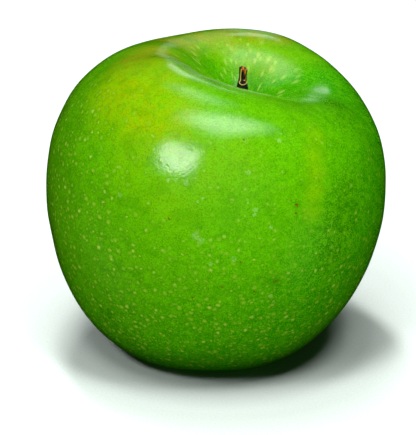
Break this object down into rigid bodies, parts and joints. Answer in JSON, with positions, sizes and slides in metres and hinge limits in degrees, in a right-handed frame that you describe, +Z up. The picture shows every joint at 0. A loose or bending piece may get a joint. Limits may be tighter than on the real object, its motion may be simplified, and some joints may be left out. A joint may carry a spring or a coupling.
{
  "type": "green apple",
  "caption": "Whole green apple, wider than tall, with a sloping top, a deep hollow that holds a short woody stem, and a dried calyx in the basin underneath.",
  "frame": {"origin": "middle of the footprint box, on the surface the lobes of the base rest on", "axes": "+Z up along the fruit's height; -Y is the side the picture shows; the high shoulder is towards -X"},
  "size_m": [0.0761, 0.0759, 0.0719],
  "materials": {
    "skin": "waxy, with pale pores",
    "stem_wood": "dry, split and rough",
    "calyx_wood": "dry and rough"
  },
  "bodies": {
    "root": {"apple_body": "skin", "stem": "stem_wood", "calyx": "calyx_wood"}
  },
  "joints": []
}
